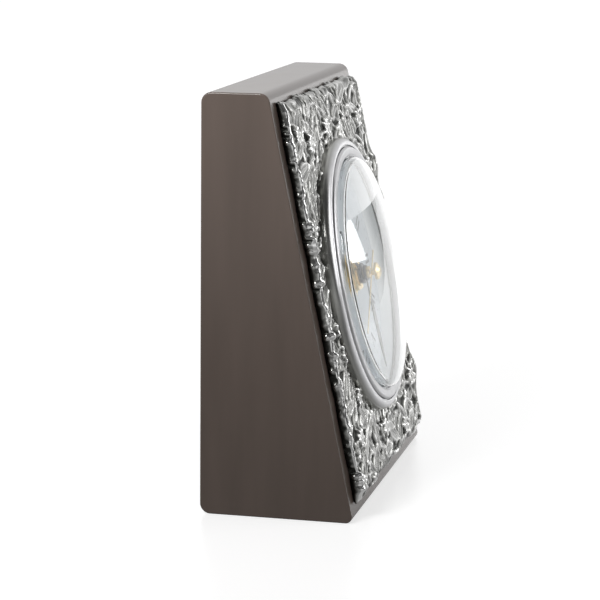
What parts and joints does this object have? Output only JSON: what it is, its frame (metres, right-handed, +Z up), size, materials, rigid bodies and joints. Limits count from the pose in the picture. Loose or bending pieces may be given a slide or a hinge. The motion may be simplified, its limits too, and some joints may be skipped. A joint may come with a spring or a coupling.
{
  "type": "table clock",
  "caption": "Wedge-shaped wooden table clock with a silver relief front plate, a domed glass clock head and a quartz movement reached through a pocket in the back.",
  "frame": {"origin": "middle of the case base, where it rests on the table", "axes": "+Z up, front with the dial towards -Y, +X to the right as seen from the front"},
  "size_m": [0.116, 0.0523, 0.132],
  "materials": {
    "lacquered_wood": "satin dark brown lacquer",
    "black_board": "black edge",
    "silver_relief": "polished silver with darkened hollows",
    "bright_steel": "polished",
    "clear_glass": "clear domed",
    "black_rubber": "matt",
    "white_dial": "satin white",
    "silver_plastic": "silvered",
    "dark_plastic": "fine moulded",
    "pale_plastic": "moulded natural",
    "hand_black": "satin black",
    "gilt_brass": "polished",
    "plain_steel": "sheet",
    "magnet": "sintered",
    "copper_wire": "enamelled copper",
    "board_green": "circuit board",
    "cell_jacket": "plain dark jacket"
  },
  "bodies": {
    "clock_case": {"case_body": "lacquered_wood", "relief_backing": "black_board", "relief_plate": "silver_relief", "bezel_ring": "bright_steel", "glass_ring": "bright_steel", "glass_dome": "clear_glass", "glass_gasket": "black_rubber", "dial_spacer": "silver_plastic", "dial": "white_dial", "mounting_cup": "dark_plastic", "friction_sleeve": "black_rubber", "centre_bush": "gilt_brass", "rubber_washer": "black_rubber", "fixing_washer": "gilt_brass", "fixing_nut": "gilt_brass", "front_housing": "dark_plastic", "rear_cover": "dark_plastic", "train_bridge": "dark_plastic", "stator": "plain_steel", "coil_core": "plain_steel", "coil_bobbin": "pale_plastic", "coil_winding": "copper_wire", "circuit_board": "board_green", "driver_chip": "dark_plastic", "quartz_crystal": "plain_steel", "battery": "cell_jacket", "battery_contact_plus": "plain_steel", "battery_contact_minus": "plain_steel"},
    "minute_hand_set": {"minute_hand": "hand_black", "hand_nut": "gilt_brass", "cannon_pinion": "gilt_brass", "clutch_washer": "plain_steel"},
    "hour_hand_set": {"hour_hand": "hand_black", "hour_wheel": "pale_plastic"},
    "setting_set": {"motion_wheel": "pale_plastic", "set_knob": "dark_plastic"},
    "second_hand_set": {"second_hand": "gilt_brass", "second_wheel": "pale_plastic"},
    "third_gear": {"third_wheel": "pale_plastic"},
    "centre_gear": {"centre_wheel": "pale_plastic"},
    "intermediate_gear": {"intermediate_wheel": "pale_plastic"},
    "motor_rotor": {"rotor": "pale_plastic", "rotor_magnet": "magnet"}
  },
  "joints": [
    {"name": "minute_hand_turn", "type": "hinge", "parent": "clock_case", "child": "minute_hand_set", "pos_m": [0, -0.01015, 0.06749], "axis": [0, 0.9781, -0.2079], "continuous": true},
    {"name": "hour_hand_turn", "type": "hinge", "parent": "clock_case", "child": "hour_hand_set", "pos_m": [0, -0.01015, 0.06749], "axis": [0, 0.9781, -0.2079], "continuous": true},
    {"name": "setting_knob_turn", "type": "hinge", "parent": "clock_case", "child": "setting_set", "pos_m": [-0.01046, -0.01015, 0.06749], "axis": [0, 0.9781, -0.2079], "continuous": true},
    {"name": "second_hand_turn", "type": "hinge", "parent": "clock_case", "child": "second_hand_set", "pos_m": [0, -0.01015, 0.06749], "axis": [0, 0.9781, -0.2079], "continuous": true},
    {"name": "third_wheel_turn", "type": "hinge", "parent": "clock_case", "child": "third_gear", "pos_m": [0.0094, -0.00944, 0.07084], "axis": [0, 0.9781, -0.2079], "continuous": true},
    {"name": "centre_wheel_turn", "type": "hinge", "parent": "clock_case", "child": "centre_gear", "pos_m": [0, -0.01015, 0.06749], "axis": [0, 0.9781, -0.2079], "continuous": true},
    {"name": "intermediate_wheel_turn", "type": "hinge", "parent": "clock_case", "child": "intermediate_gear", "pos_m": [-0.00498, -0.00836, 0.07593], "axis": [0, 0.9781, -0.2079], "continuous": true},
    {"name": "rotor_turn", "type": "hinge", "parent": "clock_case", "child": "motor_rotor", "pos_m": [-0.00961, -0.00721, 0.08132], "axis": [0, 0.9781, -0.2079], "continuous": true}
  ],
  "couplings": [
    {"joint": "hour_hand_turn", "follows": "minute_hand_turn", "ratio": 0.083333},
    {"joint": "setting_knob_turn", "follows": "minute_hand_turn", "ratio": -0.33333},
    {"joint": "third_wheel_turn", "follows": "second_hand_turn", "ratio": -0.13333},
    {"joint": "centre_wheel_turn", "follows": "second_hand_turn", "ratio": 0.016667},
    {"joint": "intermediate_wheel_turn", "follows": "second_hand_turn", "ratio": -6},
    {"joint": "rotor_turn", "follows": "second_hand_turn", "ratio": 30}
  ]
}
